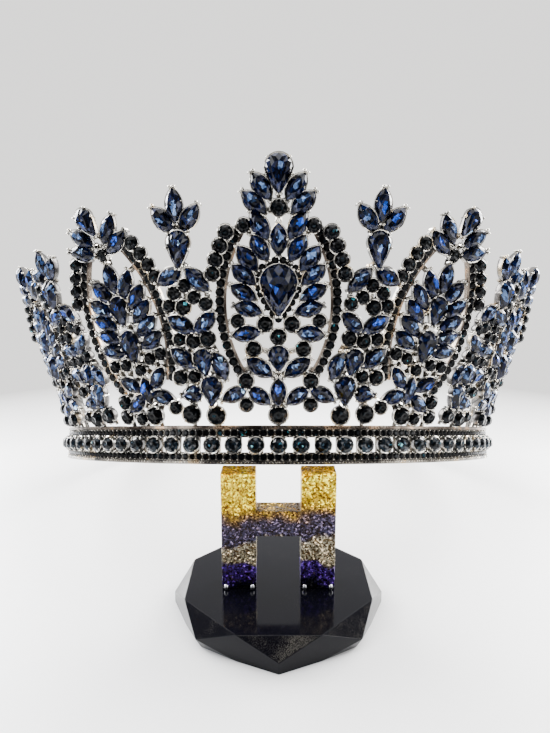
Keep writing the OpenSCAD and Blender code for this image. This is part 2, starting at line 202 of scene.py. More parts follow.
def on_band(turn, radius, height):
    """The place of a stone on the band: across, up and outwards."""
    return CROWN @ spin("Z", turn) @ shift(0, -radius, height) @ spin("X", 90)


class Pile:
    """Shapes gathered into one object, with a number on each face that the materials read."""

    def __init__(self):
        self.points, self.faces, self.values, self.kinds = [], [], [], []
        self.count = 0

    def add(self, points, faces, place, values=0.5, kind=0):
        m = np.array(place)
        flip = np.linalg.det(m[:3, :3]) < 0
        self.points.append(np.asarray(points, float) @ m[:3, :3].T + m[:3, 3])
        for i, f in enumerate(faces):
            f = [self.count + j for j in f]
            self.faces.append(f[::-1] if flip else f)
            self.values.append(values if np.isscalar(values) else values[i])
            self.kinds.append(kind)
        self.count += len(points)

    def build(self, name, materials, slot, replaces=None, smooth=0):
        mesh = bpy.data.meshes.new(name)
        mesh.from_pydata((np.concatenate(self.points) * MM).tolist(), [], self.faces)
        for m in materials:
            mesh.materials.append(m)
        mesh.polygons.foreach_set("material_index", self.kinds)
        value = mesh.attributes.new("facet", "FLOAT", "FACE")
        value.data.foreach_set("value", self.values)
        if smooth:
            mesh.polygons.foreach_set("use_smooth", [True] * len(mesh.polygons))
            mesh.set_sharp_from_angle(angle=math.radians(smooth))
        mesh.update()
        obj = bpy.data.objects.new(name, mesh)
        bpy.context.scene.collection.objects.link(obj)
        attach(obj, "root")
        if replaces:
            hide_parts(replaces)
        return obj


metal, cups, claws, beads, fine_cups = Pile(), Pile(), Pile(), Pile(), Pile()
stones = {}
BLUE, DARK, SLATE = 0, 1, 2
PLATED, RAIL, SHINY, CUP = 0, 1, 2, 3


def stone_pile(name):
    return stones.setdefault(name, Pile())


def rings(loops, closed=True):
    """Faces between loops of points of one length, with a cap at each end if closed."""
    n = len(loops[0])
    faces = [
        [k * n + i, k * n + (i + 1) % n, (k + 1) * n + (i + 1) % n, (k + 1) * n + i]
        for k in range(len(loops) - 1)
        for i in range(n)
    ]
    if closed:
        faces.append(list(range(n))[::-1])
        faces.append([(len(loops) - 1) * n + i for i in range(n)])
    return np.concatenate(loops), faces


def loop(points, z):
    return np.column_stack([points, np.full(len(points), float(z))])


PEAR_TAPER = 0.4
MARQUISE_FULLNESS = 2.25


def outline(kind, length, width, n):
    """Points of a stone's outline, anticlockwise from the bottom, with the round end up."""
    if kind == "marquise":
        t = np.linspace(-1, 1, n // 2 + 1)[:-1]
        side = np.column_stack([width / 2 * (1 - np.abs(t) ** MARQUISE_FULLNESS), length / 2 * t])
        return np.concatenate([side, -side])
    t = np.radians(360 * np.arange(n) / n - 90)
    c, s = np.cos(t), np.sin(t)
    if kind == "round":
        return width / 2 * np.column_stack([c, s])
    low = np.clip(-s, 0, 1)
    x = width / 2 * c * np.where(s > 0, 1, np.power(1 - low, PEAR_TAPER))
    y = length / 2 - width / 2 + np.where(s > 0, width / 2 * s, -(length - width / 2) * low)
    return np.column_stack([x, y])


POINTS = {"marquise": 16, "pear": 20, "round": 16}
BACK, GIRDLE, KEEL = 0.86, 0.35, 0.43
CROWN_RING, CROWN_RISE, TABLE_RING, STAR_RING = 0.82, 0.76, 0.56, 0.3
TABLE_DIP = 0.04


def cut_stone(kind, length, width):
    """A brilliant cut: girdle, lower and upper facets, kites, stars, and a table with a low star."""
    n = POINTS[kind]
    rise = width * STONE_RISE
    base = outline(kind, length, width, n)
    odd, even = base[1::2], base[0::2]
    points = np.concatenate([
        loop(base * BACK, 0),
        loop(base, rise * GIRDLE),
        loop(base, rise * KEEL),
        loop(odd * CROWN_RING, rise * CROWN_RISE),
        loop(even * TABLE_RING, rise),
        loop(odd * STAR_RING, rise - width * TABLE_DIP * 0.6),
        [[base[:, 0].mean(), base[:, 1].mean(), rise - width * TABLE_DIP * 0.2]],
    ])
    h = n // 2
    keel, ring, table, star, core = 2 * n, 3 * n, 3 * n + h, 3 * n + 2 * h, 3 * n + 3 * h
    faces, parts = [list(range(n))[::-1]], ["back"]
    for i in range(n):
        j = (i + 1) % n
        faces += [[i, j, n + j, n + i], [n + i, n + j, keel + j, keel + i]]
        parts += ["back", "girdle"]
    for i in range(h):
        j = (i + 1) % h
        a, b, c = keel + 2 * i, keel + 2 * i + 1, keel + (2 * i + 2) % n
        last = ring + (i - 1) % h
        faces += [
            [a, b, ring + i], [b, c, ring + i], [a, ring + i, table + i, last],
            [ring + i, table + j, table + i], [table + i, table + j, star + i],
            [table + i, star + i, star + (i - 1) % h], [star + i, star + j, core],
        ]
        parts += ["upper", "upper", "kite", "star", "wedge", "wedge", "core"]
    return points, faces, parts


# Painted highlights: how many table facets flash and the share of painted sparks, by cut; then the share of
# lower rim facets painted grey as the floor's reflection, and the share of flashes in royal blue
FLASHES = {"marquise": (7, 13), "pear": (2, 6), "round": (0, 3)}
SPARKS = {"marquise": 0.008, "pear": 0.008, "round": 0.003}
RIM_FLOOR_REFLECTION = 0.7
ROYAL = 0.3


def facet_values(kind, points, faces, parts, up, pale=0):
    """How each facet shows, from 0 for black to 1 for a painted spark.

    A few table facets near the middle flash together, in slate or in royal blue: painted highlights. The
    lower rim is grey, a painted reflection of the pale floor, as foil-backed stones show over one. The pale
    share of the
    others is slate too, a painted sheen: it grows towards the back of the crown, where the stones are seen
    from the side."""
    size = np.abs(points[:, :2]).max()
    half = np.abs(points[:, :2]).max(0)
    aim = np.array(up) * rng.uniform(0, 0.3) + [rng.uniform(-0.35, 0.35), rng.uniform(-0.2, 0.2)]
    centres = [points[f].mean(0)[:2] for f in faces]
    inner = [i for i, part in enumerate(parts) if part in ("star", "wedge", "core")]
    inner.sort(key=lambda i: np.linalg.norm(centres[i] / half - aim))
    flash = set(inner[:rng.randint(*FLASHES[kind])])
    low, high = (0.82, 0.95) if rng.random() < ROYAL else (0.64, 0.79)
    values = []
    for i, (centre, part) in enumerate(zip(centres, parts)):
        height = centre @ np.array(up) / size
        if i in flash:
            value = rng.uniform(low, high)
        elif part in ("upper", "kite") and height < -0.1 and rng.random() < RIM_FLOOR_REFLECTION:
            value = rng.uniform(0.46, 0.6)
        elif rng.random() < SPARKS[kind]:
            value = 1
        elif rng.random() < pale:
            value = rng.uniform(0.57, 0.78)
        else:
            value = rng.uniform(0, 0.42)
        values.append(value)
    return values


ROUGH_BALL, FINE_BALL = (6, 3), (8, 4)
SMALL_BALL_R = 0.28


def ball(pile, place, centre, radius, kind=SHINY):
    """A ball of few faces, fewer still where it is small."""
    n, steps = ROUGH_BALL if radius < SMALL_BALL_R else FINE_BALL
    turn = np.radians(360 * np.arange(n) / n)
    points = [[0, 0, -1]]
    for k in range(1, steps):
        a = math.pi * k / steps
        points += np.column_stack(
            [math.sin(a) * np.cos(turn), math.sin(a) * np.sin(turn), np.full(n, -math.cos(a))]
        ).tolist()
    points.append([0, 0, 1])
    last = len(points) - 1
    faces = [[0, 1 + (i + 1) % n, 1 + i] for i in range(n)]
    for k in range(steps - 2):
        for i in range(n):
            a, b = 1 + k * n + i, 1 + k * n + (i + 1) % n
            faces.append([a, b, b + n, a + n])
    faces += [[last - n + i, last - n + (i + 1) % n, last] for i in range(n)]
    pile.add(np.array(points) * radius + centre, faces, place, rng.random(), kind)


def wire(pile, place, start, end, radius, kind=PLATED, sides=6):
    """A straight round wire between two points."""
    start, end = Vector(start), Vector(end)
    along = end - start
    if along.length < 1e-6:
        return
    turn = along.to_track_quat("Z", "Y").to_matrix().to_4x4()
    circle = np.array([
        (radius * math.cos(2 * math.pi * i / sides), radius * math.sin(2 * math.pi * i / sides))
        for i in range(sides)
    ])
    points, faces = rings([loop(circle, 0), loop(circle, along.length)])
    pile.add(points, faces, place @ Matrix.Translation(start) @ turn, rng.random(), kind)


CUP_DEPTH = 1.7
CUP_WALL = 0.4
LIP_RISE = 0.1
PAINTED_LIP_HIGHLIGHT = 0.5


def cup(kind, length, width, place, n):
    """The cup behind a stone: a closed back, a flared wall and a thin lip at the girdle, whose top and about
    half its outer faces take the shiny silver as a painted highlight.
    """
    grow = lambda m: outline(kind, length + 2 * m, width + 2 * m, n)
    lip = SEAT_GAP + width * STONE_RISE * GIRDLE + LIP_RISE
    points, faces = rings([
        loop(grow(-0.26 * width), -CUP_DEPTH),
        loop(grow(-0.1 * width), -0.6 * CUP_DEPTH),
        loop(grow(CUP_WALL * 0.5), -0.2),
        loop(grow(CUP_WALL), lip - 0.08),
        loop(grow(CUP_WALL * 0.55), lip),
        loop(grow(0.03), lip - 0.05),
        loop(grow(-0.12 * width), 0),
    ])
    cups.add(points, faces, place, rng.random(), CUP)
    # Painted highlight: the lip's top faces and a random half of its outer faces take the shiny silver
    bright = {3 * n + i for i in range(n) if rng.random() < PAINTED_LIP_HIGHLIGHT} | {4 * n + i for i in range(n)}
    for i in bright:
        cups.kinds[i - len(faces)] = SHINY


TIP_SPREAD, TIP_OUT, TIP_R, SIDE_R, SHOULDER_R = 0.52, 0.3, 0.49, 0.18, 0.44
SHOULDERS = (40, 140, -25, 205)
CORNERS = (45, 135, 225, 315)


def prongs(kind, length, width, place):
    """Shiny claws: pairs at the tips, on the shoulders of a pear, and four round a round stone."""
    z = SEAT_GAP + width * STONE_RISE * KEEL + 0.05
    around = lambda reach, angles, up, r: [
        (reach * math.cos(math.radians(a)), up + reach * math.sin(math.radians(a)), r) for a in angles
    ]
    if kind == "marquise":
        spots = [(s * TIP_SPREAD, t * (length / 2 + TIP_OUT), TIP_R) for s in (1, -1) for t in (1, -1)]
        spots += [(s * width * 0.47, s * length * 0.1, SIDE_R) for s in (1, -1)]
    elif kind == "pear":
        spots = [(s * TIP_SPREAD, -length / 2 - 0.05, TIP_R) for s in (1, -1)]
        spots += around(width / 2 + 0.3, SHOULDERS, (length - width) / 2, SHOULDER_R)
    else:
        spots = around(width / 2 + 0.1, CORNERS, 0, 0.16 + 0.04 * width)
    for x, y, r in spots:
        ball(claws, place, (x, y, z), r)
        if r > SMALL_BALL_R:
            wire(claws, place, (x, y, z), (x * 0.75, y * 0.93, -0.9), r * 0.6, SHINY, 5)


Seat = namedtuple("Seat", "kind x y length width turn")

def spread(kind, length, width):
    """The size of a cut stone: it reaches a little over its seat, the smaller ones further."""
    if kind == "round":
        d = 1.6 + 0.68 * width
        return d, d
    if kind == "pear":
        return length + 0.4, width + 0.5
    return (length + ML) / 2 * 1.12, (width + MW) / 2 * 1.28


def seats(chart, grow=1):
    rows = []
    for kind, x, y, length, width, lean, paired in chart:
        size = [grow * v for v in spread(kind, length, width)]
        for side in (1, -1) if paired else (1,):
            rows.append(Seat(kind, side * x, y, *size, -side * lean))
    return rows


# The pears stand a little over the tips of the marquises beside them
PEAR_LIFT = 0.35


def set_stone(seat, place, pile_name, kind=None, pale=0):
    """A main stone in its cup, with its prongs."""
    lift = PEAR_LIFT if seat.kind == "pear" else 0
    here = place @ shift(seat.x, seat.y, lift) @ spin("Z", seat.turn)
    points, faces, parts = cut_stone(seat.kind, seat.length, seat.width)
    up = Vector((here[2][0], here[2][1])).normalized()
    values = facet_values(seat.kind, points, faces, parts, up, pale)
    if kind is None:
        kind = DARK if seat.kind == "round" else BLUE
    stone_pile(pile_name).add(points, faces, here @ shift(0, 0, SEAT_GAP), values, kind)
    cup(seat.kind, seat.length, seat.width, here, POINTS[seat.kind])
    prongs(seat.kind, seat.length, seat.width, here)


FINE_SIDES = 8
FINE_TABLE = 0.55
# Share of a fine stone's facets painted bright, as glints
FINE_FLASH = 0.03


def set_fine(place, d, pile_name):
    """A fine round stone in a thin cup, at the origin of its place."""
    n = FINE_SIDES
    rise = d * STONE_RISE * 0.8
    base = outline("round", d, d, n)
    loops = [loop(base * BACK, 0), loop(base, rise * GIRDLE), loop(base * FINE_TABLE, rise * 0.94)]
    points, faces = rings(loops)
    values = [rng.uniform(0.7, 1) if rng.random() < FINE_FLASH else rng.uniform(0, 0.5) for _ in faces]
    stone_pile(pile_name).add(points, faces, place, values, DARK)
    grow = lambda m: outline("round", d + 2 * m, d + 2 * m, n)
    ring, ring_faces = rings([
        loop(grow(-0.1), -0.7), loop(grow(0.1), -0.1), loop(grow(0.13), rise * GIRDLE + 0.05),
        loop(grow(0.01), rise * GIRDLE + 0.05), loop(grow(-0.15), -0.05),
    ])
    fine_cups.add(ring, ring_faces, place, rng.random(), CUP)


def band_ring(profile, kind=PLATED):
    """A ring of the band: (radius, height) points swept from one open end to the other."""
    turns = np.linspace(-BAND_REACH, BAND_REACH, 157)
    loops = []
    for t in np.radians(turns):
        loops.append([(r * math.sin(t), -r * math.cos(t), z) for r, z in profile])
    points, faces = rings([np.array(p) for p in loops])
    metal.add(points, [f[::-1] for f in faces], CROWN, rng.random(), kind)


def arch_points(arch, radius):
    """Turn in degrees of the arch's lowest and highest point on a radius."""
    low = math.degrees(math.asin((arch.low - arch.mid) / radius))
    high = math.degrees(math.asin(min(1, (arch.high - arch.mid) / radius)))
    return low, high


def on_arch(arch, radius, turn):
    t = math.radians(turn)
    return arch.reach - arch.r + radius * math.cos(t), arch.mid + radius * math.sin(t)


def arch_ribbon(place, arch, inner, outer, low_z, high_z, kind, steps=40):
    """A curved strip of the arch on both sides, between two radii and two depths."""
    a, b = arch_points(arch, arch.r)
    for side in (1, -1):
        loops = []
        for turn in np.linspace(a, b, steps):
            section = []
            for r, z in ((inner, low_z), (outer, low_z), (outer, high_z), (inner, high_z)):
                x, y = on_arch(arch, r, turn)
                section.append((side * x, y, z))
            loops.append(np.array(section))
        points, faces = rings(loops)
        faces = faces if side < 0 else [f[::-1] for f in faces]
        metal.add(points, faces, place, rng.random(), kind)


ARCH_ROUNDS = 4
ARCH_ROUND_D = 3
ARCH_ROUND_PITCH = 3.6
ARCH_ROUND_TOP = 1.4


def arch_chart(arch):
    """The larger rounds that ride on the upper part of an arch."""
    r = arch.r + ARCH_ROUND_STEP
    first = math.degrees(math.asin((arch.high - ARCH_ROUND_TOP - arch.mid) / r))
    rows = []
    for i in range(ARCH_ROUNDS):
        x, y = on_arch(arch, r, first - i * math.degrees(ARCH_ROUND_PITCH / r))
        rows.append(("round", x, y, ARCH_ROUND_D, ARCH_ROUND_D, 0, 1))
    return rows


RAIL_OUT, RAIL_W = 1.15, 0.55
BEAD_R, BEAD_Z = 0.25, 0.35


def set_arch(place, arch, pile_name):
    """The arch: a strip with a row of fine stones, and a polished rail along its inner side."""
    arch_ribbon(place, arch, arch.r - RAIL_OUT - 0.1, arch.r + 0.9, -1.5, -0.5, PLATED)
    arch_ribbon(place, arch, arch.r - RAIL_OUT - RAIL_W, arch.r - RAIL_OUT, -0.9, 0.35, RAIL)
    a, b = arch_points(arch, arch.r)
    count = round(math.radians(b - a) * arch.r / FINE_PITCH)
    step = (b - a) / count
    for side in (1, -1):
        for i in range(count):
            x, y = on_arch(arch, arch.r, a + (i + 0.5) * step)
            set_fine(place @ shift(side * x, y, -0.1), FINE_D, pile_name)
            for radius in (arch.r - 0.95, arch.r + 0.95):
                x, y = on_arch(arch, radius, a + (i + 1) * step)
                ball(beads, place, (side * x, y, BEAD_Z), BEAD_R)


LINK_R, LINK_Z = 0.85, -0.9
TOUCH = 2.0
DOT_SHARE = 0.4


def edge_of(seat):
    turn = math.radians(seat.turn)
    points = outline(seat.kind, seat.length, seat.width, 24)
    c, s = math.cos(turn), math.sin(turn)
    return points @ np.array([[c, s], [-s, c]]) + (seat.x, seat.y)


def arch_edge(arch, side):
    a, b = arch_points(arch, arch.r)
    return np.array([
        (side * on_arch(arch, r, t)[0], on_arch(arch, r, t)[1])
        for t in np.linspace(a, b, 60)
        for r in (arch.r - 1.6, arch.r + 0.6)
    ])


def set_links(place, edges):
    """Short wires that solder neighbours together: each near pair, and what else it takes to join all."""
    pairs = []
    for i in range(len(edges)):
        for j in range(i + 1, len(edges)):
            gaps = np.linalg.norm(edges[i][:, None] - edges[j][None], axis=2)
            a, b = np.unravel_index(gaps.argmin(), gaps.shape)
            pairs.append((gaps[a, b], i, j, edges[i][a], edges[j][b]))
    group = list(range(len(edges)))

    def root(i):
        while group[i] != i:
            i = group[i]
        return i

    for gap, i, j, p, q in sorted(pairs, key=lambda pair: pair[:3]):
        if gap > TOUCH and root(i) == root(j):
            continue
        group[root(i)] = root(j)
        middle = (p + q) / 2
        half = (q - p) / 2
        reach = half * (1 + 0.7 / max(gap / 2, 0.35))
        start, end = middle - reach, middle + reach
        wire(metal, place, (*start, LINK_Z), (*end, LINK_Z), LINK_R)
        if rng.random() < DOT_SHARE:
            ball(claws, place, (*middle, BEAD_Z), SMALL_BALL_R)
            wire(claws, place, (*middle, BEAD_Z), (*middle, LINK_Z), SMALL_BALL_R * 0.7, SHINY, 5)


FOOT_BELOW = 3.2
FOOT_R = 0.6
# How much the stones of the smaller motifs keep of their full size, and how much more of their facets are
# painted pale slate, a painted sheen of stones seen from the side
CLOSER = 0.5
PAINTED_SIDE_SHEEN = 3


def set_motif(place, k, charts, arch=None, arch_pile=None, halo=None):
    """One motif of the wall: its stones in their cups, its arch, its links and its feet on the band."""
    here = place @ Matrix.Scale(k, 4)
    edges = []
    for pile_name, chart in charts:
        for seat in seats(chart, k ** -CLOSER):
            set_stone(seat, here, pile_name, pale=PAINTED_SIDE_SHEEN * (1 - k))
            edges.append(edge_of(seat))
            low = edges[-1][:, 1].argmin()
            x, y = edges[-1][low]
            if y < FOOT_BELOW:
                wire(metal, here, (x, y + 0.5, LINK_Z), (x, -0.5 / k, LINK_Z), FOOT_R)
    if arch:
        set_arch(here, arch, arch_pile)
        edges += [arch_edge(arch, 1), arch_edge(arch, -1)]
    if halo:
        set_halo(here, halo, arch_pile, edges)
    set_links(here, edges)


HALO_GAP = 0.95
HALO_CLEAR = 0.15


def set_halo(place, row, pile_name, edges):
    """Fine stones round a large pear, where no neighbour is in the way."""
    pear = seats([row])[0]
    x, y = pear.x, pear.y
    path = outline("pear", pear.length + 2 * HALO_GAP, pear.width + 2 * HALO_GAP, 120) + (x, y)
    steps = np.linalg.norm(np.roll(path, -1, 0) - path, axis=1)
    along = np.concatenate([[0], np.cumsum(steps)])
    count = round(along[-1] / HALO_PITCH)
    others = [e for e in edges if np.linalg.norm(e.mean(0) - (x, y)) > 1]
    for i in range(count):
        at = along[-1] * i / count
        p = path[min(np.searchsorted(along, at, side="right") - 1, len(path) - 1)]
        if min(np.linalg.norm(e - p, axis=1).min() for e in others) > HALO_CLEAR:
            set_fine(place @ shift(*p, -0.2), HALO_D, pile_name)


# The rear motifs sit a little further in, so that their prongs stay within the part's width
REAR_SINK = 2.6


def make_wall():
    pears = list(zip(("centre_top_pear", "centre_main_pear", "centre_low_pear"), [[p] for p in CENTRE_PEARS]))
    set_motif(
        wall(0, CENTRE_SINK), 1,
        [*pears, ("centre_stones", CENTRE_CHART), ("small_stones", CENTRE_SMALL + arch_chart(CENTRE_ARCH))],
        CENTRE_ARCH, "fine_stones", CENTRE_PEARS[1],
    )
    for side, word in ((-1, "left"), (1, "right")):
        for order, k in enumerate(SIZES):
            last = order == len(SIZES) - 1
            sink = REAR_SINK if last else 0
            spire = wall(-SPIRE_STEPS[order] * MOTIF_TURN, sink, side) @ spin("Z", SPIRE_LEANS[order])
            leaf = wall(-LEAF_STEPS[order] * MOTIF_TURN, sink + LEAF_SINK, side) @ spin("Z", LEAF_LEAN)
            name = lambda own: "rear_stones" if last else own
            set_motif(spire, k, [
                (name("spire_pears_" + word), SPIRE_PEAR), (name("spire_stones"), SPIRE_CHART),
                (name("small_stones"), SPIRE_SMALL),
            ])
            set_motif(leaf, k, [
                (name("leaf_pears_" + word), LEAF_PEARS), (name("leaf_stones"), LEAF_CHART),
                (name("small_stones"), LEAF_SMALL + arch_chart(LEAF_ARCH)),
            ], LEAF_ARCH, "fine_stones")


FINE_ROWS = (2.0, 8.3)
BAND_FINE_D = 1.72
BLOCK_W = 3.7
BAND_INNER = BAND_R - BAND_T
MIDDLE_D = 4.1
CORNER_R = 0.34
RIM_BEADS = 380
RIM_BEAD_R = 0.16


def make_band():
    """Two plain rims, two rows of fine stones, and large stones on blocks with open windows between."""
    c = 0.18
    for low in (0, BAND_H - RIM_H):
        high = low + RIM_H
        band_ring([
            (BAND_INNER, low), (BAND_R - c, low), (BAND_R, low + c),
            (BAND_R, high - c), (BAND_R - c, high), (BAND_INNER, high),
        ], RAIL if low else PLATED)
    for low, high in ((RIM_H - 0.05, 3.2), (BAND_H - 3.2, BAND_H - RIM_H + 0.05)):
        band_ring([(BAND_INNER + 0.3, low), (GROOVE_R, low), (GROOVE_R, high), (BAND_INNER + 0.3, high)])
    for i in range(-BAND_SIDE_STONES, BAND_SIDE_STONES + 1):
        place = on_band(i * BAND_TURN, STRIP_R, BAND_H / 2)
        w, h = BLOCK_W / 2, BAND_H / 2 - 3
        block = np.array([(-w, -h), (w, -h), (w, h), (-w, h)])
        points, faces = rings([loop(block, -1.6), loop(block, -0.35), loop(block * 0.94, -0.18)])
        metal.add(points, faces, place, rng.random())
        seat = Seat("round", 0, 0, MIDDLE_D, MIDDLE_D, 0)
        set_stone(seat, place, "band_stones" if abs(i) <= CAD_SIDE_STONES else "rear_band_stones", SLATE)
        for x in (-w, w):
            for y in (-h, h):
                ball(claws, place, (x * 1.02, y * 0.98, 0), CORNER_R)
    per = 3
    last = BAND_SIDE_STONES * per + 1
    for j in range(-last, last + 1):
        for row in FINE_ROWS:
            set_fine(on_band(j * BAND_TURN / per, GROOVE_R + 0.35, row), BAND_FINE_D, "band_fine_stones")
            for edge in (-1, 1):
                spot = on_band((j + 0.5) * BAND_TURN / per, GROOVE_R + 0.85, row + edge * 0.74)
                ball(beads, spot, (0, 0, 0), BEAD_R)
    for turn in np.linspace(-BAND_REACH + 0.3, BAND_REACH - 0.3, RIM_BEADS):
        ball(beads, on_band(turn, BAND_R - 0.08, RIM_H / 2), (0, 0, 0), RIM_BEAD_R)


def link_nodes(tree, *pairs):
    for a, b in pairs:
        tree.links.new(a, b)


def new_material(name):
    m = bpy.data.materials.new(name)
    m.use_nodes = True
    tree = m.node_tree
    return m, tree, tree.nodes["Principled BSDF"]


def ramp(tree, stops, constant=False):
    node = tree.nodes.new("ShaderNodeValToRGB")
    if constant:
        node.color_ramp.interpolation = "CONSTANT"
    parts = node.color_ramp.elements
    while len(parts) < len(stops):
        parts.new(0.5)
    for part, (at, colour) in zip(parts, stops):
        part.position = at
        part.color = (*colour, 1)
    return node


def noise(tree, scale, detail=3, coords=None):
    node = tree.nodes.new("ShaderNodeTexNoise")
    node.inputs["Scale"].default_value = scale
    node.inputs["Detail"].default_value = detail
    coords = coords or tree.nodes.new("ShaderNodeTexCoord").outputs["Object"]
    tree.links.new(coords, node.inputs["Vector"])
    return node


def ranged(tree, source, low, high, from_low=0.3, from_high=0.7):
    node = tree.nodes.new("ShaderNodeMapRange")
    for key, value in (("From Min", from_low), ("From Max", from_high), ("To Min", low), ("To Max", high)):
        node.inputs[key].default_value = value
    tree.links.new(source, node.inputs["Value"])
    return node.outputs["Result"]


SHARD_SCALE = (1500, 1500, 800)


def crystal(name, stops, metallic, specular):
    """Foil-backed cut glass: each facet takes its shade from the number on its face, a dark tone of its own
    or a painted reflection.

    Upright shards break the shades up, as the facets of the foiled back do: painted reflections, brighter and
    darker."""
    m, tree, shader = new_material(name)
    facet = tree.nodes.new("ShaderNodeAttribute")
    facet.attribute_name = "facet"
    shade = ramp(tree, stops)
    dust = noise(tree, 900)
    coords = tree.nodes.new("ShaderNodeTexCoord").outputs["Object"]
    stretch = tree.nodes.new("ShaderNodeVectorMath")
    stretch.operation = "MULTIPLY"
    stretch.inputs[1].default_value = SHARD_SCALE
    shards = tree.nodes.new("ShaderNodeTexVoronoi")
    shards.inputs["Scale"].default_value = 1
    # Painted reflections: the shards darken or brighten the facet's colour, up to almost twice
    shard_reflections = ramp(tree, [(0.0, (0.1, 0.1, 0.1)), (0.3, (0.25, 0.25, 0.27)), (0.45, (0.9, 0.9, 0.9)),
                        (0.8, (1.1, 1.1, 1.1)), (0.9, (1.9, 1.9, 1.9))])
    tint = tree.nodes.new("ShaderNodeSeparateColor")
    paint = tree.nodes.new("ShaderNodeMix")
    paint.data_type = "RGBA"
    paint.blend_type = "MULTIPLY"
    paint.inputs["Factor"].default_value = 1
    link_nodes(
        tree, (facet.outputs["Fac"], shade.inputs["Fac"]), (shade.outputs["Color"], paint.inputs["A"]),
        (coords, stretch.inputs[0]), (stretch.outputs["Vector"], shards.inputs["Vector"]),
        (shards.outputs["Color"], tint.inputs["Color"]), (tint.outputs["Red"], shard_reflections.inputs["Fac"]),
        (shard_reflections.outputs["Color"], paint.inputs["B"]), (paint.outputs["Result"], shader.inputs["Base Color"]),
        (ranged(tree, dust.outputs["Fac"], 0.04, 0.12), shader.inputs["Roughness"]),
    )
    shader.inputs["Metallic"].default_value = metallic
    shader.inputs["Specular IOR Level"].default_value = specular
    return m


def plated(name, dark, light, warm, warm_share, rough):
    """Plated metal with patches of tone, fine cast grain and worn, smoother spots."""
    m, tree, shader = new_material(name)
    patches = noise(tree, 170, 4)
    grain = noise(tree, 2600, 2)
    tone = ramp(tree, [(0.35, dark), (0.52, light), (1 - warm_share, light), (1 - warm_share + 0.04, warm)])
    bump = tree.nodes.new("ShaderNodeBump")
    bump.inputs["Strength"].default_value = 0.25
    bump.inputs["Distance"].default_value = 0.00004
    link_nodes(
        tree, (patches.outputs["Fac"], tone.inputs["Fac"]),
        (tone.outputs["Color"], shader.inputs["Base Color"]),
        (ranged(tree, grain.outputs["Fac"], rough * 0.6, rough * 1.4), shader.inputs["Roughness"]),
        (grain.outputs["Fac"], bump.inputs["Height"]), (bump.outputs["Normal"], shader.inputs["Normal"]),
    )
    shader.inputs["Metallic"].default_value = 1
    return m


# Facet numbers up to 0.42 are the stones' own dark tones; from 0.46 up they are painted reflections: the grey
# of the pale floor on the lower rim, the slate sheen of stones seen from the side, slate and royal flashes,
# and at 1 a painted spark
blue_crystal = crystal("blue_crystal", [
    (0.0, (0.0006, 0.0008, 0.003)), (0.2, (0.001, 0.002, 0.009)), (0.42, (0.002, 0.006, 0.034)),
    (0.46, (0.012, 0.013, 0.024)), (0.6, (0.035, 0.04, 0.068)), (0.64, (0.03, 0.065, 0.17)),
    (0.79, (0.12, 0.2, 0.38)), (0.82, (0.004, 0.02, 0.17)), (0.95, (0.02, 0.09, 0.5)),
    (1.0, (0.4, 0.65, 0.95)),
], 0.2, 0.22)
dark_crystal = crystal("dark_crystal", [
    (0.0, (0.0006, 0.0007, 0.001)), (0.42, (0.0014, 0.0022, 0.003)), (0.46, (0.006, 0.0065, 0.008)),
    (0.6, (0.009, 0.01, 0.013)), (0.8, (0.004, 0.01, 0.014)), (0.95, (0.006, 0.025, 0.035)),
    (1.0, (0.04, 0.25, 0.3)),
], 0.1, 0.1)
slate_crystal = crystal("slate_crystal", [
    (0.0, (0.001, 0.0014, 0.002)), (0.42, (0.003, 0.007, 0.012)), (0.46, (0.008, 0.013, 0.018)),
    (0.6, (0.02, 0.03, 0.04)), (0.8, (0.03, 0.055, 0.08)), (0.95, (0.02, 0.1, 0.14)),
    (1.0, (0.2, 0.5, 0.55)),
], 0.1, 0.2)
dark_silver = plated("dark_silver", (0.04, 0.038, 0.036), (0.22, 0.2, 0.17), (0.34, 0.26, 0.17), 0.42, 0.24)
warm_rail = plated("warm_rail", (0.03, 0.022, 0.018), (0.17, 0.14, 0.115), (0.34, 0.23, 0.15), 0.46, 0.28)
cup_metal = plated("cup_metal", (0.015, 0.014, 0.014), (0.09, 0.085, 0.08), (0.17, 0.14, 0.1), 0.42, 0.3)
shiny_silver = plated("shiny_silver", (0.16, 0.155, 0.145), (0.58, 0.55, 0.49), (0.62, 0.52, 0.38), 0.4, 0.14)


def make_crown():
    make_wall()
    make_band()
    metals = [dark_silver, warm_rail, shiny_silver, cup_metal]
    metal.build("crown_frame_openwork", metals, "dark_silver", "crown_frame", smooth=38)
    cups.build("stone_cups", metals, "dark_silver", smooth=38)
    fine_cups.build("fine_stone_cups", metals, "dark_silver", smooth=38)
    claws.build("stone_claws", metals, "dark_silver", smooth=60)
    beads.build("setting_beads", metals, "dark_silver", smooth=60)
    for name, pile in stones.items():
        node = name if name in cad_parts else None
        slot = "blue_crystal" if node and "band" not in name else "dark_crystal"
        pile.build(name + "_cut", [blue_crystal, dark_crystal, slate_crystal], slot, node)


BASE_TOP_R, BASE_WAIST_R, BASE_H, BASE_WAIST_H = 26, 28.3, 7, 3
BASE_FLOOR_R, BASE_DRAW_IN = 25.9, 0.94
PLATE_HALF, UPRIGHT_W, BAR_LOW, BAR_HIGH = 14.8, 9, 21.8, 28.7
PLATE_FRONT, PLATE_BACK = -5, 1
PLATE_TOP = LIFT - PLATE_BACK * math.tan(math.radians(TILT)) - 0.12
STUD_R, STUD_TALL, STUD_IN = 0.6, 1.4, 1.1


# The sloping corner facets take more of the bright dust, partly real dust and partly their painted sheen
SLOPE_DUST_AND_SHEEN = (0.3, 0.3, 0.3)


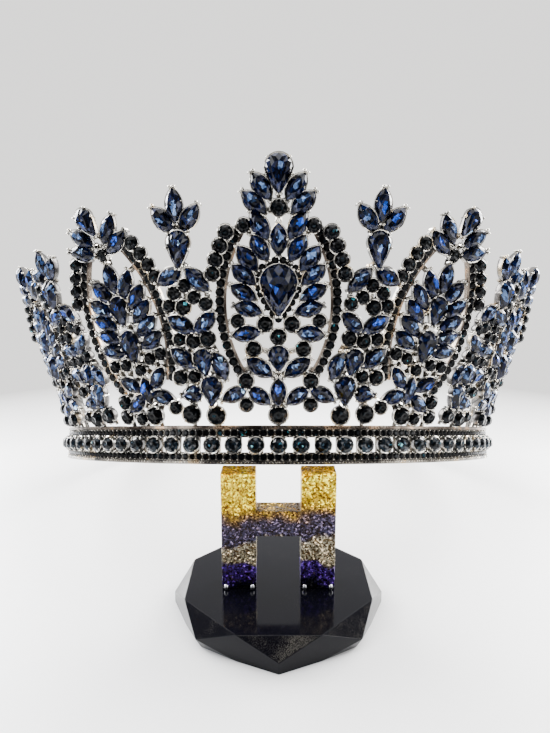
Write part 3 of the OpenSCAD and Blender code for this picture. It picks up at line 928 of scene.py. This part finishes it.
def black_acrylic():
    """Polished black with a little bright dust that has settled on it, more on the sloping corner facets,
    where it also stands for their painted sheen.
    """
    m, tree, shader = new_material("black_acrylic")
    cells = tree.nodes.new("ShaderNodeTexVoronoi")
    cells.inputs["Scale"].default_value = 5000
    coords = tree.nodes.new("ShaderNodeTexCoord").outputs["Object"]
    patches = noise(tree, 110, 3, coords)
    dust = ramp(tree, [(0.0, (0.07, 0.065, 0.055)), (0.15, (0.0015, 0.0015, 0.003))])
    amount = tree.nodes.new("ShaderNodeMath")
    amount.operation = "ADD"
    slope = ramp(tree, [(0.5, (1, 1, 1)), (0.65, SLOPE_DUST_AND_SHEEN), (0.85, SLOPE_DUST_AND_SHEEN), (0.95, (1, 1, 1))])
    facing = tree.nodes.new("ShaderNodeSeparateXYZ")
    geometry = tree.nodes.new("ShaderNodeNewGeometry")
    apart = tree.nodes.new("ShaderNodeMath")
    apart.operation = "MULTIPLY"
    link_nodes(
        tree, (coords, cells.inputs["Vector"]), (cells.outputs["Distance"], apart.inputs[0]),
        (geometry.outputs["Normal"], facing.inputs["Vector"]), (facing.outputs["Z"], slope.inputs["Fac"]),
        (slope.outputs["Color"], apart.inputs[1]), (apart.outputs["Value"], amount.inputs[0]),
        (ranged(tree, patches.outputs["Fac"], 0.14, -0.05), amount.inputs[1]),
        (amount.outputs["Value"], dust.inputs["Fac"]), (dust.outputs["Color"], shader.inputs["Base Color"]),
        (ranged(tree, patches.outputs["Fac"], 0.04, 0.13), shader.inputs["Roughness"]),
    )
    shader.inputs["Specular IOR Level"].default_value = 0.14
    return m


# Faces that look up are painted darker: a painted shade
PAINTED_TOP_SHADE = 0.45


def glitter_resin():
    """Bands of gold, grey, champagne and violet flakes under clear resin, with ragged edges; the brightest
    flakes are painted glints, and faces that look up are painted darker, a painted shade.
    """
    m, tree, shader = new_material("glitter_resin")
    nodes = tree.nodes
    coords = nodes.new("ShaderNodeTexCoord").outputs["Object"]
    apart = nodes.new("ShaderNodeSeparateXYZ")
    drift = noise(tree, 130, 4, coords)
    height = nodes.new("ShaderNodeMath")
    height.operation = "ADD"
    level = nodes.new("ShaderNodeMapRange")
    level.inputs["From Min"].default_value = BASE_H * MM
    level.inputs["From Max"].default_value = PLATE_TOP * MM
    bands = ramp(tree, [
        (0.0, (0.001, 0.001, 0.002)), (0.04, (0.002, 0.001, 0.01)), (0.08, (0.018, 0.006, 0.07)),
        (0.21, (0.028, 0.012, 0.11)), (0.25, (0.14, 0.125, 0.085)), (0.4, (0.2, 0.18, 0.135)),
        (0.45, (0.036, 0.032, 0.062)), (0.6, (0.039, 0.032, 0.058)), (0.67, (0.14, 0.085, 0.02)),
        (0.76, (0.52, 0.34, 0.01)), (0.95, (0.78, 0.61, 0.025)), (0.985, (0.8, 0.42, 0.004)),
    ])
    flakes = nodes.new("ShaderNodeTexVoronoi")
    flakes.inputs["Scale"].default_value = 2600
    tint = nodes.new("ShaderNodeSeparateColor")
    # Flake shades: darker and paler flakes are their own tone; the brightest, far above white, are painted
    # glints
    flake_tone_and_glints = ramp(tree, [(0.0, (0.12, 0.06, 0.03)), (0.28, (0.4, 0.27, 0.12)), (0.45, (0.9, 0.88, 0.8)),
                        (0.75, (1.1, 1.1, 1.1)), (0.85, (2.2, 2.1, 1.9)), (0.95, (5, 4.5, 4))])
    paint = nodes.new("ShaderNodeMix")
    paint.data_type = "RGBA"
    paint.blend_type = "MULTIPLY"
    paint.inputs["Factor"].default_value = 1
    turn = nodes.new("ShaderNodeVectorMath")
    turn.operation = "MULTIPLY_ADD"
    turn.inputs[1].default_value = (1.3, 1.3, 1.3)
    turn.inputs[2].default_value = (-0.65, -0.65, -0.65)
    geometry = nodes.new("ShaderNodeNewGeometry")
    facing = nodes.new("ShaderNodeSeparateXYZ")
    top_shaded = nodes.new("ShaderNodeVectorMath")
    top_shaded.operation = "SCALE"
    lean = nodes.new("ShaderNodeVectorMath")
    unit = nodes.new("ShaderNodeVectorMath")
    unit.operation = "NORMALIZE"
    link_nodes(
        tree, (coords, apart.inputs["Vector"]), (apart.outputs["Z"], height.inputs[0]),
        (ranged(tree, drift.outputs["Fac"], -0.0026, 0.0026), height.inputs[1]),
        (height.outputs["Value"], level.inputs["Value"]), (level.outputs["Result"], bands.inputs["Fac"]),
        (coords, flakes.inputs["Vector"]), (flakes.outputs["Color"], tint.inputs["Color"]),
        (tint.outputs["Red"], flake_tone_and_glints.inputs["Fac"]), (bands.outputs["Color"], paint.inputs["A"]),
        (flake_tone_and_glints.outputs["Color"], paint.inputs["B"]), (paint.outputs["Result"], top_shaded.inputs[0]),
        (geometry.outputs["Normal"], facing.inputs["Vector"]),
        (ranged(tree, facing.outputs["Z"], 1, PAINTED_TOP_SHADE, 0.3, 0.9), top_shaded.inputs["Scale"]),
        (top_shaded.outputs["Vector"], shader.inputs["Base Color"]),
        (flakes.outputs["Color"], turn.inputs[0]), (turn.outputs["Vector"], lean.inputs[0]),
        (geometry.outputs["Normal"], lean.inputs[1]), (lean.outputs["Vector"], unit.inputs[0]),
        (unit.outputs["Vector"], shader.inputs["Normal"]),
    )
    shader.inputs["Metallic"].default_value = 0.55
    shader.inputs["Roughness"].default_value = 0.3
    shader.inputs["Specular IOR Level"].default_value = 0.1
    shader.inputs["Coat Weight"].default_value = 0.03
    shader.inputs["Coat Roughness"].default_value = 0.03
    return m


def bevel(obj, width, segments):
    mod = obj.modifiers.new("rounded_edges", "BEVEL")
    mod.width = width * MM
    mod.segments = segments
    mod.limit_method = "ANGLE"
    mod.angle_limit = math.radians(20)
    mod.harden_normals = True


def ring_of(radius, first, count=8):
    turn = np.radians(first + 360 / count * np.arange(count))
    return radius * np.column_stack([np.cos(turn), np.sin(turn)])


def make_base():
    """An octagon cut like a gem: corners at mid height, and a floor edge that draws in between them."""
    floor = np.zeros((16, 2))
    floor[0::2] = ring_of(BASE_WAIST_R, 0)
    floor[1::2] = ring_of(BASE_FLOOR_R, 22.5)
    floor[2::4] *= BASE_DRAW_IN
    points = np.concatenate([
        loop(floor, 0), loop(ring_of(BASE_WAIST_R, 0), BASE_WAIST_H), loop(ring_of(BASE_TOP_R, 22.5), BASE_H),
    ])
    faces = [list(range(16))[::-1], list(range(24, 32))]
    for i in range(8):
        j = (i + 1) % 8
        corner, following, crest = 16 + i, 16 + j, 24 + i
        foot, between, after = 2 * i, 2 * i + 1, (2 * i + 2) % 16
        faces += [
            [corner, foot, between], [corner, between, following], [following, between, after],
            [corner, following, crest], [following, 24 + j, crest],
        ]
    base = Pile()
    base.add(points, faces, Matrix.Identity(4))
    cut = base.build("stand_base_faceted", [black_acrylic()], "black_gloss", "stand_base", smooth=20)
    bevel(cut, 0.16, 2)


def make_plate():
    plate = Pile()
    inner = PLATE_HALF - UPRIGHT_W
    shape = [
        (-PLATE_HALF, BASE_H), (-inner, BASE_H), (-inner, BAR_LOW), (inner, BAR_LOW), (inner, BASE_H),
        (PLATE_HALF, BASE_H), (PLATE_HALF, PLATE_TOP), (inner, PLATE_TOP), (inner, BAR_HIGH),
        (-inner, BAR_HIGH), (-inner, PLATE_TOP), (-PLATE_HALF, PLATE_TOP),
    ]
    front = np.array([(x, PLATE_FRONT, z) for x, z in shape], float)
    back = np.array([(x, PLATE_BACK, z) for x, z in shape], float)
    points, faces = rings([front, back])
    plate.add(points, [f[::-1] for f in faces], Matrix.Identity(4))
    cast = plate.build("stand_plate_resin", [glitter_resin()], "glitter_resin", "stand_plate", smooth=25)
    bevel(cast, 0.35, 3)


def make_studs():
    """A small silver pin at each lower corner of the two uprights."""
    studs = Pile()
    silver = plated("silver_ball", (0.4, 0.4, 0.42), (0.8, 0.8, 0.82), (0.85, 0.84, 0.82), 0.4, 0.12)
    tall = Matrix.Diagonal((1, 1, STUD_TALL, 1))
    for side in (-1, 1):
        for x in (PLATE_HALF - STUD_IN, PLATE_HALF - UPRIGHT_W + STUD_IN):
            centre = shift(side * x, PLATE_FRONT - STUD_R, BASE_H + STUD_R * STUD_TALL)
            round_ball(studs, centre @ tall, STUD_R)
            wire(studs, centre, (0, 0, 0), (0, STUD_R + 0.2, 0), 0.28, sides=10)
    studs.build("stand_studs_round", [silver], "silver_ball", "stand_studs", smooth=60)


def round_ball(pile, place, radius):
    steps = 12
    loops = []
    for k in range(1, steps):
        a = math.pi * k / steps
        loops.append(loop(ring_of(radius * math.sin(a), 0, 20), -radius * math.cos(a)))
    points, faces = rings(loops)
    pile.add(points, faces, place)


BACKDROP = (1.7, 1.68, 1.65, 1)
FADE_FROM, FADE_TO = 0.17, 0.3


def make_floor():
    """A pale floor that turns into the even grey of the backdrop further out."""
    bpy.ops.mesh.primitive_circle_add(vertices=96, radius=6, fill_type="NGON", location=(0, 0, 0))
    floor = bpy.context.object
    floor.name = "floor"
    m, tree, shader = new_material("pale_floor")
    coords = tree.nodes.new("ShaderNodeTexCoord").outputs["Object"]
    reach = tree.nodes.new("ShaderNodeVectorMath")
    reach.operation = "LENGTH"
    backdrop = tree.nodes.new("ShaderNodeEmission")
    backdrop.inputs["Color"].default_value = BACKDROP
    fade = tree.nodes.new("ShaderNodeMixShader")
    output = tree.nodes["Material Output"]
    link_nodes(
        tree, (coords, reach.inputs[0]),
        (ranged(tree, reach.outputs["Value"], 0, 1, FADE_FROM, FADE_TO), fade.inputs["Fac"]),
        (shader.outputs["BSDF"], fade.inputs[1]), (backdrop.outputs["Emission"], fade.inputs[2]),
        (fade.outputs["Shader"], output.inputs["Surface"]),
    )
    shader.inputs["Base Color"].default_value = (0.88, 0.875, 0.87, 1)
    shader.inputs["Roughness"].default_value = 0.4
    floor.data.materials.append(m)


def area_light(name, place, aim, size, power, colour=(1, 1, 1)):
    data = bpy.data.lights.new(name, "AREA")
    data.shape = "RECTANGLE"
    data.size, data.size_y = size
    data.energy = power
    data.color = colour
    lamp = bpy.data.objects.new(name, data)
    bpy.context.scene.collection.objects.link(lamp)
    lamp.location = place
    lamp.rotation_euler = (Vector(aim) - Vector(place)).to_track_quat("-Z", "Y").to_euler()


def make_light():
    world = bpy.data.worlds.new("studio")
    bpy.context.scene.world = world
    world.use_nodes = True
    tree = world.node_tree
    background = tree.nodes["Background"]
    coords = tree.nodes.new("ShaderNodeTexCoord").outputs["Generated"]
    apart = tree.nodes.new("ShaderNodeSeparateXYZ")
    sky = ramp(tree, [(0.0, (0.15, 0.15, 0.16)), (0.45, (0.5, 0.5, 0.52)), (1.0, (1.5, 1.5, 1.5))])
    seen = tree.nodes.new("ShaderNodeLightPath")
    choose = tree.nodes.new("ShaderNodeMix")
    choose.data_type = "RGBA"
    choose.inputs["B"].default_value = BACKDROP
    link_nodes(
        tree, (coords, apart.inputs["Vector"]),
        (ranged(tree, apart.outputs["Y"], 0, 1, -1, 1), sky.inputs["Fac"]),
        (sky.outputs["Color"], choose.inputs["A"]), (seen.outputs["Is Camera Ray"], choose.inputs["Factor"]),
        (choose.outputs["Result"], background.inputs["Color"]),
    )
    background.inputs["Strength"].default_value = 1
    area_light("overhead", (0, 0.3, 1.0), (0, 0.05, 0), (1.6, 1.2), 28)
    area_light("left_wall", (-0.95, 0.8, 0.5), (0, 0, 0), (0.9, 0.8), 80, (0.97, 0.98, 1))
    area_light("right_wall", (0.95, 0.8, 0.5), (0, 0, 0), (0.9, 0.8), 80)
    area_light("left_window", (-0.6, -0.35, 0.4), (0, 0.05, 0.06), (0.3, 0.5), 5, (0.93, 0.96, 1))
    area_light("right_fill", (0.65, -0.2, 0.3), (0, 0.05, 0.06), (0.3, 0.4), 3.5)


CAMERA = (-0.9, -143.6, 94.3)
CAMERA_PITCH = -11.26
FOCAL_PX = 580
PHOTO_H = 733


def make_camera():
    data = bpy.data.cameras.new("camera")
    data.sensor_width = 36
    data.lens = FOCAL_PX / PHOTO_H * data.sensor_width
    data.clip_start = 0.005
    camera = bpy.data.objects.new("camera", data)
    bpy.context.scene.collection.objects.link(camera)
    camera.location = Vector(CAMERA) * MM
    camera.rotation_euler = (math.radians(90 + CAMERA_PITCH), 0, 0)
    bpy.context.scene.camera = camera


make_camera()
make_crown()
make_base()
make_plate()
make_studs()
make_floor()
make_light()
